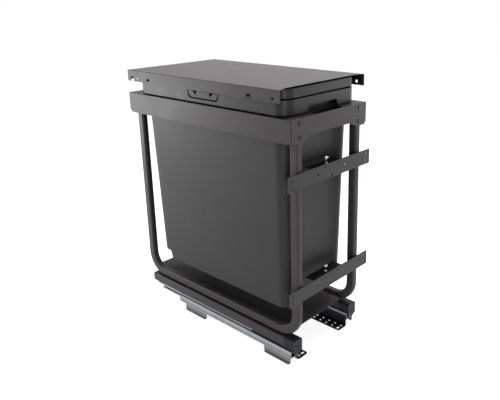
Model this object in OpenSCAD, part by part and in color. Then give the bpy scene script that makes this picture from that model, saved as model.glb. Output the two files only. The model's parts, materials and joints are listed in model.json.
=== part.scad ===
// Pull out bin frame with one hanging bin, for the inside of a narrow base cabinet.
// Millimetres. Z is up, the door side faces -Y, X is to the right seen from the door.

/* [Support ring] */
// Width of the ring across its side skirts
ring_width = 238; // [230:1:244]
// Depth of the ring from its front skirt to its rear skirt
ring_depth = 510; // [496:1:524]
// Height of the ring's top face above the cabinet floor
ring_top = 524; // [510:1:540]
// Height of the ring's side skirts
ring_skirt = 47; // [45:1:54]
// How much shorter the front skirt is between its two ears
ring_relief = 10.5; // [6:0.5:13]
// Width of each ear on the front and rear skirts
ear_width = 34; // [32:1:40]
// Thickness of the folded sheet of ring, cover and brackets
sheet = 1.2; // [1:0.1:1.4]

/* [Tube frames] */
// Width of the tube across the cabinet
tube_width = 15; // [14:0.5:16]
// Depth of the tube in the plane of its bend
tube_depth = 20; // [18:0.5:22]
// Radius of the tube's rounded edges
tube_edge = 4; // [3:0.5:5]
// Bend radius on the tube's centre line
tube_bend = 44; // [38:1:50]
// Wall thickness of the tube
tube_wall = 1.5; // [1.2:0.1:2]

/* [Top cover] */
// Width of the cover across its side flanges
cover_width = 264; // [260:1:268]
// Depth of the cover from front to rear
cover_depth = 474; // [464:1:484]
// Height of the cover's side flanges
cover_flange = 24.5; // [23:0.5:26]
// How far the cover's front edge is set back between its flanges
cover_setback = 9; // [6:0.5:12]
// Air gap from the bag ring to the cover
cover_gap = 0.3; // [0.3:0.1:2]
// Diameter of the cover's screw holes
cover_hole = 6.5; // [5.5:0.5:7]
// Width of the cover's open notches
cover_notch = 12; // [10:0.5:13]
// Height of the cover's rear flange
cover_back = 21.5; // [20:0.5:23]

/* [Bin] */
// Height of the bin's rim skirt
rim_height = 30; // [29:0.5:33]
// Air gap under the rim skirt, above the ring
rim_gap = 2; // [1.5:0.1:2.5]
// Wall thickness of the bin
bin_wall = 2.2; // [1.8:0.1:2.6]
// How much narrower each bin side is at the step than at the rim
bin_taper = 12; // [8:0.5:15]
// Height of the bin's foot below its step
bin_foot = 26; // [20:1:32]
// Clear height between base plate and bin
bin_clear = 41; // [34:1:46]
// Width of the finger opening in the rim
grip_width = 90; // [76:1:100]
// Height of the finger opening in the rim
grip_height = 13; // [11:0.5:15]
// Width of each folding carry handle
handle_width = 98; // [88:1:106]

/* [Bag ring] */
// Height of the bag ring's outer band
bag_height = 19.1; // [17:0.1:22]
// Gap between bag ring and bin rim
bag_gap = 2.8; // [2:0.1:3.5]

/* [Runners] */
// Distance from the middle to the centre of each runner cover
runner_x = 95.5; // [94:0.5:97]
// Width of a runner cover
runner_width = 26.5; // [26:0.5:28]
// Height of a runner cover's side
runner_side = 19.6; // [18.8:0.2:20.4]
// Bend radius along the top of a runner cover
runner_bend = 4; // [3.5:0.5:4.5]
// Height of the runner covers' top above the floor
runner_top = 56; // [56:0.5:58]
// Length of a runner cover
runner_length = 474; // [464:1:484]
// Thickness of the rail steel
rail_steel = 1.5; // [1.3:0.1:1.6]
// Length of the fixed rails and floor brackets
rail_length = 367; // [362:1:372]
// Travel of the pull-out
travel = 450; // [420:5:450]

/* [Floor brackets] */
// Distance from the middle to the inner edge of a floor flange
flange_inner = 55; // [52:1:58]
// Pitch of the floor holes along the flange
hole_pitch = 17.4; // [16:0.2:18]
// Diameter of the floor holes
floor_hole = 5; // [4:0.5:6]

/* [Door bars] */
// Length of a door bar
bar_length = 264; // [256:1:268]
// Height of a door bar
bar_height = 31.5; // [31:0.5:34]
// Thickness of a door bar
bar_steel = 2.5; // [2:0.1:3]
// Height of the upper door bar's middle
upper_bar_z = 404; // [380:1:420]
// Height of the lower door bar's middle
lower_bar_z = 164; // [150:1:200]
// Adjustment of a door bar up and down
bar_adjust = 3; // [2:0.5:3]
// Diameter of the adjusting screws
adjuster_d = 5; // [4.5:0.5:5.5]

/* [Hidden] */
// Side clearance of a moving piece in its guide
slack = 0.3;
// Radial running clearance of a pin in its hole
run = 0.08;
// Radial clearance of a fixed screw in its hole
loose = 0.1;

// Finish colours of the construction view
DARK = [0.29, 0.28, 0.29];
BLACK = [0.1, 0.1, 0.11];
GREY = [0.36, 0.36, 0.37];
ZINC = [0.78, 0.8, 0.82];

// Tube frames stand behind the ring's front and rear skirts
tube_x = runner_x - 1;
tube_face = ring_depth / 2 - sheet;
tube_leg = tube_face - tube_depth / 2;
tube_low = runner_top + tube_depth / 2;
tube_inside = tube_x - tube_width / 2;
bend_y = tube_leg - tube_bend;
bend_z = tube_low + tube_bend;
tube_end = ring_top - sheet;
screw_high = ring_top - 10;
screw_low = ring_top - ring_skirt + 10;
screw_r = 2;
screw_reach = 12;

// Bin outline, set a little towards the door inside the ring
bin_y = -5;
rim_half_x = ring_width / 2 - 6;
rim_half_y = ring_depth / 2 - 25;
rim_round = 27;
rim_wall = 2.5;
neck_inset = 7.5;
rim_z0 = ring_top + rim_gap;
rim_z1 = rim_z0 + rim_height;
plate_top = runner_top + tube_depth / 2;
foot_z = plate_top + bin_clear;
step_z = foot_z + bin_foot;
neck_x = rim_half_x - neck_inset;
neck_y = rim_half_y - neck_inset - 3;
body_x = neck_x - bin_taper;
body_y = neck_y - bin_taper * 0.65;
step_side = 2;
step_front = 2;
step_rear = 14;
foot_x = body_x - step_side;
foot_y = body_y - (step_front + step_rear) / 2;
foot_mid = bin_y + (step_front - step_rear) / 2;
foot_draft = 2;
sole = 3;
body_round = 26;
foot_round = 24;
neck_gap = 0.05;

// Folding carry handles in the long sides of the rim
handle_gap = 3;
handle_t = 2.2;
handle_pin = 1.4;
handle_z = rim_z1 - 7;
handle_x = rim_half_x - rim_wall / 2;
handle_low = rim_z0 + 7;
pin_reach = 4;
pocket_inset = 22;

// Ribs under the rim, as shares of its length
rib_near = 0.35 * rim_half_y;
rib_far = 0.65 * rim_half_y;

// Bag ring and cover follow the rim upwards
bag_z0 = rim_z1 + bag_gap;
bag_z1 = bag_z0 + bag_height;
bag_wall = 2.5;
bag_foot_y = 130;
bag_foot_x = 50;
skirt_out = 8.5 + bin_wall + 1;
cover_z0 = bag_z1 + cover_gap;
cover_z1 = cover_z0 + sheet;
cover_y = -3;
cover_front = cover_y - cover_depth / 2;
cover_rear = cover_y + cover_depth / 2;
flange_z = cover_z1 - cover_flange;
cover_hole_z = flange_z + 7.5;
notch_z = flange_z + 5;
notch_front = cover_front + 80;
notch_mid = cover_rear - 77;
notch_rear = cover_rear - 17;

// Runner section, from the floor upwards, round one centre line
slide_x = runner_x + 2.5;
web_z = 14.5;
rail_half = 12.3;
rail_top = 30;
cover_low = runner_top - runner_side;
cap_side = 26.8;
cap_low = runner_top - cap_side;
ball_r = 2;
ball_gap = 0.2;
low_ball_x = rail_half - rail_steel - ball_r - ball_gap;
low_half = low_ball_x - ball_r - ball_gap;
low_z = (web_z + rail_top) / 2;
drawer_half = 9.3;
drawer_top = runner_top - sheet;
drawer_low = rail_top + 0.8;
drawer_round = runner_bend - 1;
up_ball_x = drawer_half - rail_steel - ball_r - ball_gap;
up_half = up_ball_x - ball_r - ball_gap;
up_z = drawer_top - 9.3;
flange_half = 1.5;
web_half = 1.6;
cage_t = 1;
cover_r0 = -runner_length / 2 - 4;
cover_r1 = cover_r0 + runner_length;
rail_front = cover_r0 + 2;
rail_rear = rail_front + rail_length;
rail_mid = (rail_front + rail_rear) / 2;
mid_front = rail_front + 3;
mid_rear = cover_r1 - 29;
cap_t = 5;
cap_sleeve = 23;
drawer_front = cover_r0 + 119;
drawer_rear = cover_r1 - 17;
cage_length = 200;
low_cage_front = rail_front + travel / 4 + 6;
up_cage_front = mid_front + travel / 4 + 6;
tab_length = 76;
tab_first = rail_front + 2;
tab_second = rail_front + 268;
tab_cut = 3;
tab_kick = 3;
groove = 0.8;
groove_h = 2;
rear_chamfer = 4;

// Soft-close unit on the inner side of each floor bracket
wall_x = slide_x - rail_half;
ridge_r = 1.2;
unit_half = 8.6;
unit_x = wall_x - rail_steel - ridge_r - unit_half;
unit_front = -145;
unit_rear = unit_front + 150;
unit_top = 25;
damper_rear = unit_front + 63;
catch_y = unit_front + 115;
catch_length = 14;
rod_r = 1.2;
rod_z = 13;
catch_top = unit_top + 1.6;

// Door bars and their adjusting screws
bracket_face = ring_depth / 2;
bar_rear = bracket_face + 0.4;
bar_front = bar_rear + bar_steel;
shelf_z = 9;
shelf_half = 48;
shelf_depth = 28;
door_hole_x = 45;
door_hole_low = 11;
lug_t = 3;
adjust_y = -(ring_depth / 2 - 13);
adjuster_tail = 9;
adjuster_rise = 23;
head_h = 3.5;

// Rounded rectangle about the origin
module rounded(x, y, r) {
    square([x - 2 * r, y], center = true);
    square([x, y - 2 * r], center = true);
    for (sx = [-1, 1], sy = [-1, 1])
        translate([sx * (x / 2 - r), sy * (y / 2 - r)])
            circle(r = r, $fn = 48);
}

// Rounded slab from z0 to z1, given by its half sizes
module slab(hx, hy, r, z0, z1) {
    translate([0, bin_y, z0])
        linear_extrude(z1 - z0)
            rounded(2 * hx, 2 * hy, r);
}

// Box from one corner to the opposite one
module box(a, b) {
    translate(a)
        cube([b[0] - a[0], b[1] - a[1], b[2] - a[2]]);
}

// Bar along Y with a round section
module rod_y(x, y0, y1, z, r) {
    translate([x, y0, z])
        rotate([-90, 0, 0])
            cylinder(h = y1 - y0, r = r, $fn = 48);
}

// Box along a runner, centred on its line
module strip(half, y0, y1, z0, z1) {
    box([slide_x - half, y0, z0], [slide_x + half, y1, z1]);
}

// Plate in the XZ plane, from y0 towards +Y, drawn in x and z
module upright(y0, t) {
    translate([0, y0 + t, 0])
        rotate([90, 0, 0])
            linear_extrude(t)
                children();
}

// Plate in the YZ plane, from x0 towards +X, drawn in y and z
module sideways(x0, t) {
    translate([x0, 0, 0])
        rotate([90, 0, 90])
            linear_extrude(t)
                children();
}

// Section with rounded top corners, in x and z about x = 0
module arch(half, z0, z1, r) {
    translate([-half, z0])
        square([2 * half, z1 - z0 - r]);
    translate([-half + r, z0])
        square([2 * (half - r), z1 - z0]);
    for (s = [-1, 1])
        translate([s * (half - r), z1 - r])
            circle(r = r, $fn = 48);
}

// Upright slot drawn about its centre
module slot(w, h) {
    square([w, h - w], center = true);
    for (s = [-1, 1])
        translate([0, s * (h - w) / 2])
            circle(d = w, $fn = 32);
}

// Skirt between the left and right ring sides, with its ears
module ring_end() {
    ear = ring_width / 2;
    low = ring_top - ring_skirt;
    round = 9;
    difference() {
        union() {
            polygon([[-ear, ring_top], [ear, ring_top], [ear, low + round], [ear - round, low],
                [ear - ear_width, low], [ear - ear_width - 24, low + ring_relief],
                [-ear + ear_width + 24, low + ring_relief], [-ear + ear_width, low], [-ear + round, low],
                [-ear, low + round]]);
            for (s = [-1, 1])
                translate([s * (ear - round), low + round])
                    circle(r = round, $fn = 48);
        }
        for (s = [-1, 1], z = [screw_high, screw_low])
            translate([s * tube_x, z])
                circle(r = screw_r + loose, $fn = 32);
    }
}

// Side skirt of the ring with rounded lower corners
module ring_side() {
    seam = sheet + 0.6;
    long = ring_depth / 2 - seam;
    low = ring_top - ring_skirt;
    round = 9;
    polygon([[-long, ring_top], [long, ring_top], [long, low + round], [long - round, low],
        [-long + round, low], [-long, low + round]]);
    for (s = [-1, 1])
        translate([s * (long - round), low + round])
            circle(r = round, $fn = 48);
}

module support_ring() {
    color(DARK)
        difference() {
            union() {
                box([-ring_width / 2, -ring_depth / 2, ring_top - sheet],
                    [ring_width / 2, ring_depth / 2, ring_top]);
                upright(-ring_depth / 2, sheet) ring_end();
                upright(ring_depth / 2 - sheet, sheet) ring_end();
                sideways(-ring_width / 2, sheet) ring_side();
                sideways(ring_width / 2 - sheet, sheet) ring_side();
            }
            slab(neck_x + 1.5, neck_y + 1.5, 25, ring_top - sheet - 1, ring_top + 1);
            for (s = [-1, 1])
                translate([0, s * (ring_depth / 2 - 14), ring_top - sheet - 1])
                    linear_extrude(sheet + 2)
                        rounded(grip_width, 22, 5);
        }
}

// Screws that hold the ring to the tube frames, with a cross recess in the head
module ring_screw(head) {
    difference() {
        union() {
            rod_y(0, -head, 0, 0, 4);
            rod_y(0, -0.2, screw_reach, 0, screw_r);
        }
        box([-0.5, -head - 1, -2.6], [0.5, -head + 0.8, 2.6]);
        box([-2.6, -head - 1, -0.5], [2.6, -head + 0.8, 0.5]);
    }
}

module ring_screws_front() {
    color(BLACK)
        for (s = [-1, 1], z = [screw_high, screw_low])
            translate([s * tube_x, -ring_depth / 2, z])
                ring_screw(1.8);
}

// Rear screws stand out as far as the door bars do at the front
module ring_screws_rear() {
    color(BLACK)
        mirror([0, 1, 0])
            for (s = [-1, 1], z = [screw_high, screw_low])
                translate([s * tube_x, -ring_depth / 2, z])
                    ring_screw(bar_front - ring_depth / 2);
}

// U-shaped tube as a solid, smaller all round by the given wall
module u_shape(cut, top) {
    w = tube_width - 2 * cut;
    d = tube_depth - 2 * cut;
    r = tube_edge - cut;
    for (s = [-1, 1]) {
        translate([tube_x, s * tube_leg, bend_z])
            linear_extrude(top - bend_z)
                rounded(w, d, r);
        translate([tube_x, s * bend_y, bend_z])
            rotate([0, 90, 0])
                rotate([0, 0, s > 0 ? 0 : -90])
                    rotate_extrude(angle = 90, $fn = 96)
                        translate([tube_bend, 0])
                            rotate([0, 0, 90])
                                rounded(w, d, r);
    }
    translate([tube_x, -bend_y, tube_low])
        rotate([-90, 0, 0])
            linear_extrude(2 * bend_y)
                rounded(w, d, r);
}

module tube_right() {
    color(DARK)
        difference() {
            u_shape(0, tube_end);
            u_shape(tube_wall, tube_end + 1);
            for (s = [-1, 1], z = [screw_high, screw_low])
                rod_y(tube_x, min(s * tube_leg, s * (tube_face + 1)),
                    max(s * tube_leg, s * (tube_face + 1)), z, screw_r + loose);
        }
}

module tube_left() {
    mirror([1, 0, 0])
        tube_right();
}

// Flat base between the tube frames, its sides folded down against the tubes
module base_plate() {
    color(DARK)
        difference() {
            union() {
                box([-tube_inside, -tube_leg + 20, plate_top - rail_steel],
                    [tube_inside, tube_leg + 4, plate_top]);
                for (s = [-1, 1])
                    translate([s * (tube_inside - sheet / 2), 0, plate_top - 3])
                        cube([sheet, 2 * bend_y, 6], center = true);
            }
            for (s = [-1, 1], y = [-bend_y + 9, -bend_y + 54, bend_y - 28, bend_y + 16])
                translate([s * (tube_inside - 8), y, plate_top - 10])
                    cylinder(h = 20, d = 5, $fn = 32);
        }
}

// Cover that stays on the cabinet sides
module cover_side() {
    difference() {
        translate([cover_front, flange_z])
            square([cover_depth, cover_flange]);
        for (y = [cover_front + 19, cover_rear - 35.5])
            translate([y, cover_hole_z])
                circle(d = cover_hole, $fn = 32);
        for (y = [notch_front, notch_mid, notch_rear]) {
            translate([y, notch_z])
                circle(d = cover_notch, $fn = 48);
            translate([y - cover_notch / 2, flange_z - 1])
                square([cover_notch, notch_z - flange_z + 1]);
        }
    }
}

module top_cover() {
    half = cover_width / 2;
    color(DARK)
        union() {
            translate([0, 0, cover_z0])
                linear_extrude(sheet)
                    polygon([[-half, cover_front], [-half + 27, cover_front + cover_setback],
                        [half - 27, cover_front + cover_setback], [half, cover_front], [half, cover_rear],
                        [-half, cover_rear]]);
            sideways(-half, sheet) cover_side();
            sideways(half - sheet, sheet) cover_side();
            box([-half, cover_rear - sheet, cover_z1 - cover_back], [half, cover_rear, cover_z1]);
        }
}

// Tapered rounded block between two half sizes, about one middle line
module taper(x0, y0, z0, x1, y1, z1, r, mid) {
    hull() {
        translate([0, mid, z0])
            linear_extrude(0.01)
                rounded_coarse(2 * x0, 2 * y0, r);
        translate([0, mid, z1 - 0.01])
            linear_extrude(0.01)
                rounded_coarse(2 * x1, 2 * y1, r);
    }
}

module rounded_coarse(x, y, r) {
    square([x - 2 * r, y], center = true);
    square([x, y - 2 * r], center = true);
    for (sx = [-1, 1], sy = [-1, 1])
        translate([sx * (x / 2 - r), sy * (y / 2 - r)])
            circle(r = r, $fn = 32);
}

// Opening for the fingers, in x and z about the middle of the rim's front
module grip(grow) {
    w = grip_width + 2 * grow;
    h = grip_height + grow;
    difference() {
        translate([0, rim_z0])
            rounded(w, 2 * h, 7 + grow);
        translate([-w, rim_z0 - 3 * h])
            square([2 * w, 3 * h]);
    }
}

// Outline of a folding handle, in y and z, open upwards
module handle_shape(shrink) {
    w = handle_width - 2 * shrink;
    low = handle_low + shrink;
    round = 11;
    top = rim_z1 - 3.6 - shrink;
    translate([bin_y, 0])
        intersection() {
            translate([-w / 2, low])
                square([w, top - low]);
            translate([0, low + 2 * round])
                rounded(w, 4 * round, round);
        }
}

// Walls and foot of the bin, open at the top
module bin() {
    sole_x = foot_x - foot_draft;
    sole_y = foot_y - foot_draft;
    color(GREY)
        difference() {
            union() {
                taper(sole_x, sole_y, foot_z, foot_x, foot_y, step_z, foot_round, foot_mid);
                taper(body_x, body_y, step_z - sole, neck_x, neck_y, rim_z1, body_round, bin_y);
            }
            taper(sole_x - bin_wall, sole_y - bin_wall, foot_z + sole,
                foot_x - bin_wall, foot_y - bin_wall, step_z + 1, foot_round - 2, foot_mid);
            taper(body_x - bin_wall, body_y - bin_wall, step_z,
                neck_x - bin_wall, neck_y - bin_wall, rim_z1 + 1, body_round - 2, bin_y);
        }
}

// Rim of the bin: flange, hanging skirt, ribs, finger openings and handle bearings
module bin_rim() {
    collar_x = neck_x + neck_gap;
    collar_y = neck_y + neck_gap;
    skirt_x = rim_half_x - rim_wall;
    skirt_y = rim_half_y - rim_wall;
    rib_h = rim_z1 - ring_top - 1;
    rib_z = ring_top + rib_h / 2;
    color(GREY)
        difference() {
            union() {
                // flange and hanging skirt
                difference() {
                    slab(rim_half_x, rim_half_y, rim_round, rim_z0, rim_z1);
                    slab(skirt_x, skirt_y, rim_round - rim_wall, rim_z0 - 1, rim_z1 - rim_wall);
                    slab(collar_x, collar_y, body_round + neck_gap, rim_z0 - 1, rim_z1 + 1);
                }
                // ribs that stand on the ring
                for (s = [-1, 1]) {
                    for (y = [-rib_far, -rib_near, rib_near, rib_far])
                        translate([s * (collar_x + skirt_x + 0.5) / 2, bin_y + y, rib_z])
                            cube([skirt_x + 0.5 - collar_x, 2, rib_h], center = true);
                    for (x = [-70, 70])
                        translate([x, bin_y + s * (collar_y + skirt_y + 0.5) / 2, rib_z])
                            cube([2, skirt_y + 0.5 - collar_y, rib_h], center = true);
                }
                // raised border round the finger openings
                for (s = [-1, 1])
                    upright(bin_y + s * (rim_half_y + 0.1) - 0.7, 1.4)
                        difference() {
                            grip(1.8);
                            grip(0);
                        }
                // hinge bosses beside the handles
                for (s = [-1, 1], e = [-1, 1])
                    translate([s * (handle_x - 0.8), bin_y + e * (handle_width / 2 + 3), handle_z])
                        cube([4.1, 6, 7], center = true);
            }
            for (s = [-1, 1])
                upright(bin_y + s * (rim_half_y - 1) - 3, 6)
                    grip(0);
            for (s = [-1, 1])
                sideways(s * handle_x - 2.2, 4.4)
                    handle_shape(0);
            for (s = [-1, 1])
                rod_y(s * handle_x, bin_y - handle_width / 2 - pin_reach - 0.6,
                    bin_y + handle_width / 2 + pin_reach + 0.6, handle_z, handle_pin + run);
        }
}

// Folding carry handle with its two hinge pins and two finger pockets
module handle_right() {
    color(GREY)
        union() {
            difference() {
                sideways(handle_x - handle_t / 2, handle_t)
                    handle_shape(handle_gap);
                for (s = [-1, 1])
                    sideways(handle_x - handle_t, 2 * handle_t)
                        translate([bin_y + s * (handle_width / 2 - pocket_inset), handle_z - 2])
                            polygon([[-7, 3], [7, 3], [-s * 5, -7]]);
            }
            rod_y(handle_x, bin_y - handle_width / 2 - pin_reach, bin_y - handle_width / 2 + 6,
                handle_z, handle_pin);
            rod_y(handle_x, bin_y + handle_width / 2 - 6, bin_y + handle_width / 2 + pin_reach,
                handle_z, handle_pin);
        }
}

module handle_left() {
    mirror([1, 0, 0])
        handle_right();
}

// Ring that clamps the bag inside the bin's mouth
module bag_ring() {
    inner_x = rim_half_x - skirt_out;
    inner_y = rim_half_y - skirt_out - 3;
    color(GREY)
        difference() {
            union() {
                difference() {
                    slab(rim_half_x, rim_half_y, rim_round, bag_z0, bag_z1);
                    slab(rim_half_x - bag_wall, rim_half_y - bag_wall, rim_round - bag_wall,
                        bag_z0 - 1, bag_z1 - 2.2);
                }
                slab(inner_x, inner_y, 22, rim_z1 - 16, bag_z1);
                // feet that stand on the rim
                for (s = [-1, 1]) {
                    for (y = [-bag_foot_y, 0, bag_foot_y])
                        translate([s * (rim_half_x - 8), bin_y + y, (rim_z1 + bag_z1) / 2 - 0.6])
                            cube([9, 3, bag_z1 - rim_z1 - 1.2], center = true);
                    for (x = [-bag_foot_x, bag_foot_x])
                        translate([x, bin_y + s * (rim_half_y - 9.5), (rim_z1 + bag_z1) / 2 - 0.6])
                            cube([3, 12, bag_z1 - rim_z1 - 1.2], center = true);
                }
            }
            slab(inner_x - 2, inner_y - 2, 20, rim_z1 - 20, bag_z1 + 1);
        }
}

// Floor bracket with perforated flange, ridged wall and seat for the rail
module floor_bracket_right() {
    inner = flange_inner;
    first = rail_length / 2 - 8;
    color(BLACK)
        difference() {
            union() {
                translate([(inner + wall_x) / 2, rail_mid, 0])
                    linear_extrude(rail_steel)
                        rounded(wall_x - inner, rail_length, 5);
                box([wall_x - rail_steel, rail_front + 2, 0], [wall_x, rail_rear - 2, web_z + 9]);
                box([wall_x - rail_steel, rail_front + 2, web_z - rail_steel],
                    [slide_x + rail_half - rail_steel, rail_rear - 2, web_z]);
                for (z = [5, 10, 15, 20])
                    rod_y(wall_x - rail_steel, rail_front + 2, rail_rear - 2, z, ridge_r);
            }
            for (i = [0:4], e = [-1, 1])
                translate([wall_x - 10.5, rail_mid + e * (first - i * hole_pitch), -1])
                    cylinder(h = rail_steel + 2, d = floor_hole, $fn = 32);
            for (i = [1:4], e = [-1, 1])
                translate([wall_x - 22.2, rail_mid + e * (first - i * hole_pitch), -1])
                    cylinder(h = rail_steel + 2, d = floor_hole, $fn = 32);
            for (y = [rail_front + 8.5, rail_rear - 8.5])
                translate([wall_x - 22.2, y, -1])
                    linear_extrude(rail_steel + 2)
                        rotate([0, 0, 90])
                            slot(floor_hole, floor_hole + 5);
        }
}

module floor_bracket_left() {
    mirror([1, 0, 0])
        floor_bracket_right();
}

// Outer wall of a fixed rail with its two standing tabs
module rail_wall() {
    translate([rail_front, web_z])
        square([rail_length, rail_top - web_z]);
    for (y = [tab_first, tab_second])
        polygon([[y, web_z + 1], [y, tab_cut], [y + tab_cut, 0], [y + tab_length - tab_cut, 0],
            [y + tab_length, tab_cut], [y + tab_length, web_z + 1]]);
}

module fixed_rail_right() {
    out = slide_x + rail_half;
    lip = 5;
    color(ZINC)
        difference() {
            union() {
                sideways(out - rail_steel, rail_steel) rail_wall();
                box([wall_x, rail_front, web_z], [out, rail_rear, web_z + rail_steel]);
                box([wall_x, rail_front, web_z], [wall_x + rail_steel, rail_rear, rail_top]);
                box([slide_x + lip, rail_front, rail_top - rail_steel], [out, rail_rear, rail_top]);
                box([wall_x, rail_front, rail_top - rail_steel], [slide_x - lip, rail_rear, rail_top]);
                // feet kicked outwards along the tabs
                for (y = [tab_first, tab_second])
                    box([out - rail_steel, y + tab_cut, 0],
                        [out + tab_kick, y + tab_length - tab_cut, rail_steel]);
            }
            // pressed line along the outer wall, two more on each tab and a rivet hole at the rear
            box([out - groove, rail_front - 1, web_z + 4], [out + 1, rail_rear + 1, web_z + 4 + groove_h]);
            for (y = [tab_first, tab_second], z = [4.5, 10])
                box([out - groove, y - 1, z], [out + 1, y + tab_length + 1, z + groove_h]);
            translate([out - rail_steel - 1, rail_rear - 7, web_z + 8])
                rotate([0, 90, 0])
                    cylinder(h = rail_steel + 2, d = 5, $fn = 32);
        }
}

module fixed_rail_left() {
    mirror([1, 0, 0])
        fixed_rail_right();
}

// Middle rail between fixed rail and drawer rail
module middle_rail_right() {
    color(ZINC)
        union() {
            strip(low_half, mid_front, mid_rear, low_z - flange_half, low_z + flange_half);
            strip(up_half, mid_front, mid_rear, up_z - flange_half, up_z + flange_half);
            strip(web_half, mid_front, mid_rear, low_z, up_z);
        }
}

module middle_rail_left() {
    mirror([1, 0, 0])
        middle_rail_right();
}

// Ball cage: strip, two sides and the balls they carry
module cage(front, x_ball, z_ball, strip_z, side_low, side_high) {
    union() {
        strip(x_ball + cage_t / 2, front, front + cage_length, strip_z, strip_z + 0.8);
        for (s = [-1, 1]) {
            translate([slide_x + s * x_ball - cage_t / 2, front, side_low])
                cube([cage_t, cage_length, side_high - side_low]);
            for (i = [0:5])
                translate([slide_x + s * x_ball, front + 12 + i * (cage_length - 24) / 5, z_ball])
                    sphere(r = ball_r, $fn = 24);
        }
    }
}

module lower_cage_right() {
    low = web_z + rail_steel + 0.8;
    color(ZINC)
        cage(low_cage_front, low_ball_x, low_z, low, low, low_z + 3.2);
}

module lower_cage_left() {
    mirror([1, 0, 0])
        lower_cage_right();
}

module upper_cage_right() {
    top = drawer_top - rail_steel - 0.8;
    color(ZINC)
        cage(up_cage_front, up_ball_x, up_z, top - 0.8, up_z - 3.2, top);
}

module upper_cage_left() {
    mirror([1, 0, 0])
        upper_cage_right();
}

// Drawer rail under the runner cover
module drawer_rail_right() {
    lip = 3;
    color(ZINC)
        upright(drawer_front, drawer_rear - drawer_front)
            translate([slide_x, 0])
                difference() {
                    arch(drawer_half, drawer_low, drawer_top, drawer_round);
                    arch(drawer_half - rail_steel, drawer_low + rail_steel, drawer_top - rail_steel,
                        drawer_round - rail_steel);
                    translate([-lip, drawer_low - 1])
                        square([2 * lip, rail_steel + 2]);
                }
}

module drawer_rail_left() {
    mirror([1, 0, 0])
        drawer_rail_right();
}

// Shell of a runner, open below, from y0 towards +Y
module runner_shell(y0, long) {
    half = runner_width / 2;
    upright(y0, long)
        translate([runner_x, 0])
            difference() {
                arch(half, cover_low, runner_top, runner_bend);
                arch(half - sheet, cover_low - 1, runner_top - sheet, runner_bend - sheet);
            }
}

// Cover over a runner behind its front cap, open below, with a chamfer at its rear end
module runner_cover_right() {
    half = runner_width / 2;
    color(DARK)
        difference() {
            runner_shell(cover_r0 + cap_sleeve, runner_length - cap_sleeve);
            sideways(runner_x - half - 1, runner_width + 2)
                polygon([[cover_r1 - rear_chamfer, cover_low - 1], [cover_r1 + 1, cover_low + rear_chamfer],
                    [cover_r1 + 1, cover_low - 1]]);
        }
}

module runner_cover_left() {
    mirror([1, 0, 0])
        runner_cover_right();
}

// Front end cap with pointed lower edge, screw hole, sleeve and two long cheeks in front of the drawer rail
module front_cap_right() {
    half = runner_width / 2;
    plug = half - sheet;
    cheek = 3.3;
    cheek_top = runner_top - runner_bend;
    color(BLACK)
        difference() {
            union() {
                upright(cover_r0 - cap_t, cap_t)
                    translate([runner_x, 0]) {
                        arch(half, cap_low, runner_top, runner_bend);
                        translate([0, cap_low])
                            polygon([[-half, 1], [half, 1], [half, -0.8], [half - 3, -2.6],
                                [0, -6.6], [-half + 3, -2.6], [-half, -0.8]]);
                    }
                runner_shell(cover_r0 - 1, cap_sleeve + 1);
                upright(cover_r0 - 1, cap_sleeve + 9)
                    translate([runner_x, 0])
                        arch(plug, up_z + 4, runner_top - sheet, runner_bend - sheet);
                for (x = [slide_x - drawer_half, slide_x + drawer_half - cheek])
                    box([x, cover_r0 - 1, drawer_low], [x + cheek, drawer_front - 1, cheek_top]);
            }
            rod_y(runner_x, cover_r0 - cap_t - 1, cover_r0 + 1, cap_low + 12, 1.8);
        }
}

module front_cap_left() {
    mirror([1, 0, 0])
        front_cap_right();
}

// Rear end cap, slotted for the middle rail
module rear_cap_right() {
    plug = runner_width / 2 - sheet;
    color(BLACK)
        difference() {
            upright(cover_r1 - 4, 4)
                translate([runner_x, 0])
                    arch(plug, cover_low + rear_chamfer, runner_top - sheet, runner_bend - sheet);
            box([slide_x - 6.5, cover_r1 - 5, cover_low], [slide_x + 6.5, cover_r1 + 1, up_z + 4]);
        }
}

module rear_cap_left() {
    mirror([1, 0, 0])
        rear_cap_right();
}

// Soft-close housing with a long pocket open at the top
module soft_close_housing_right() {
    color(BLACK)
        difference() {
            box([unit_x - unit_half, unit_front, rail_steel], [unit_x + unit_half, unit_rear, unit_top]);
            box([unit_x - 4.5, unit_front + 3, rod_z - 4], [unit_x + 4.5, unit_rear - 5, unit_top + 1]);
            for (y = [unit_front + 8, unit_rear - 8])
                translate([unit_x - 6.6, y, 0])
                    cylinder(h = unit_top + 1, d = 2.4, $fn = 24);
        }
}

module soft_close_housing_left() {
    mirror([1, 0, 0])
        soft_close_housing_right();
}

// Damper cylinder resting in the housing, bored for its rod
module damper_right() {
    y0 = unit_front + 4;
    y1 = damper_rear;
    color(ZINC)
        difference() {
            union() {
                rod_y(unit_x, y0, y1, rod_z, 3.7);
                for (y = [y0, y1 - 4])
                    box([unit_x - 4, y, rod_z - 4], [unit_x + 4, y + 4, rod_z + 4]);
            }
            rod_y(unit_x, y0 + 3, y1 + 1, rod_z, rod_r + run);
        }
}

module damper_left() {
    mirror([1, 0, 0])
        damper_right();
}

// Catch with its damper rod
module catch_right() {
    color(BLACK)
        union() {
            box([unit_x - 4.5 + slack, catch_y, rod_z - 4 + slack],
                [unit_x + 4.5 - slack, catch_y + catch_length, rod_z - 1.5]);
            box([unit_x - 2.6, catch_y, rod_z - 2], [unit_x + 2.6, catch_y + catch_length, catch_top]);
            rod_y(unit_x, damper_rear - 4, catch_y + 1, rod_z, rod_r);
        }
}

module catch_left() {
    mirror([1, 0, 0])
        catch_right();
}

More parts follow.
